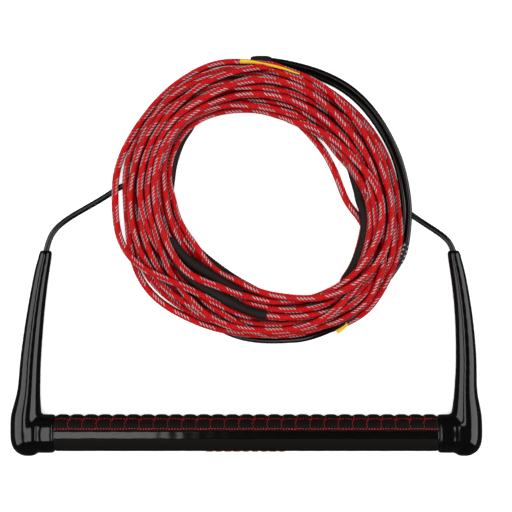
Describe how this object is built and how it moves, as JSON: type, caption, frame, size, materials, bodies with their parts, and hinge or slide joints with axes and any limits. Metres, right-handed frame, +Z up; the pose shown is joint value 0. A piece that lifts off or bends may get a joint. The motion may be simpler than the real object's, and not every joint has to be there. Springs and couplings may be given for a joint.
{
  "type": "tow rope handle",
  "caption": "Water sports tow handle: padded bar between two moulded arms, bridle legs, and a long braided line lying coiled beside it.",
  "frame": {"origin": "on the floor under the middle of the handle's own box (the bar with its two arms, without the line)", "axes": "+X along the bar, +Y from the bar towards the coiled line, +Z up; the object lies on its back"},
  "size_m": [0.3811, 0.3235, 0.0378],
  "materials": {
    "aluminium_bar": "satin",
    "plug_foam": "matte closed-cell foam",
    "grip_foam": "matte foam rubber",
    "grip_gloss": "glossy rubber",
    "grip_pad": "satin quilted rubber cloth",
    "red_thread": "twisted thread",
    "orange_rubber": "satin raised rubber",
    "cap_plastic": "glossy moulded",
    "ferrule": "satin",
    "coated_line": "glossy coated line",
    "sleeve_cloth": "matte woven sleeve",
    "whipping_thread": "black and white flecked thread",
    "red_braid": "braided line, grey flecks",
    "yellow_tape": "woven tape"
  },
  "bodies": {
    "line": {"leg_left": "coated_line", "leg_right": "coated_line", "bridle_turns_left": "coated_line", "bridle_turns_right": "coated_line", "apex_sleeve": "sleeve_cloth", "line_whipping": "whipping_thread", "line_section_1": "red_braid", "line_section_2": "red_braid", "line_section_3": "red_braid", "line_section_4": "red_braid", "sleeve_inner_left": "sleeve_cloth", "sleeve_inner_right": "sleeve_cloth", "sleeve_front_middle": "sleeve_cloth", "sleeve_front_ribbed": "sleeve_cloth", "sleeve_front_outer": "sleeve_cloth", "tag_back": "yellow_tape", "tag_front": "yellow_tape"},
    "handle": {"bar_tube": "aluminium_bar", "tube_plug_left": "plug_foam", "tube_plug_right": "plug_foam", "grip_sleeve": "grip_foam", "grip_band": "grip_gloss", "grip_pad": "grip_pad", "stitch_row_upper": "red_thread", "stitch_row_lower": "red_thread", "cross_stitches": "red_thread", "grip_badge": "orange_rubber", "end_cap_left": "cap_plastic", "end_cap_right": "cap_plastic", "leg_stop_left": "ferrule", "leg_stop_right": "ferrule"}
  },
  "joints": [
    {"name": "handle_swing", "type": "hinge", "parent": "line", "child": "handle", "pos_m": [0, 0.1, 0.004], "axis": [-1, 0, 0], "range_deg": [0, 70], "deforming": ["leg_left", "leg_right"]}
  ]
}
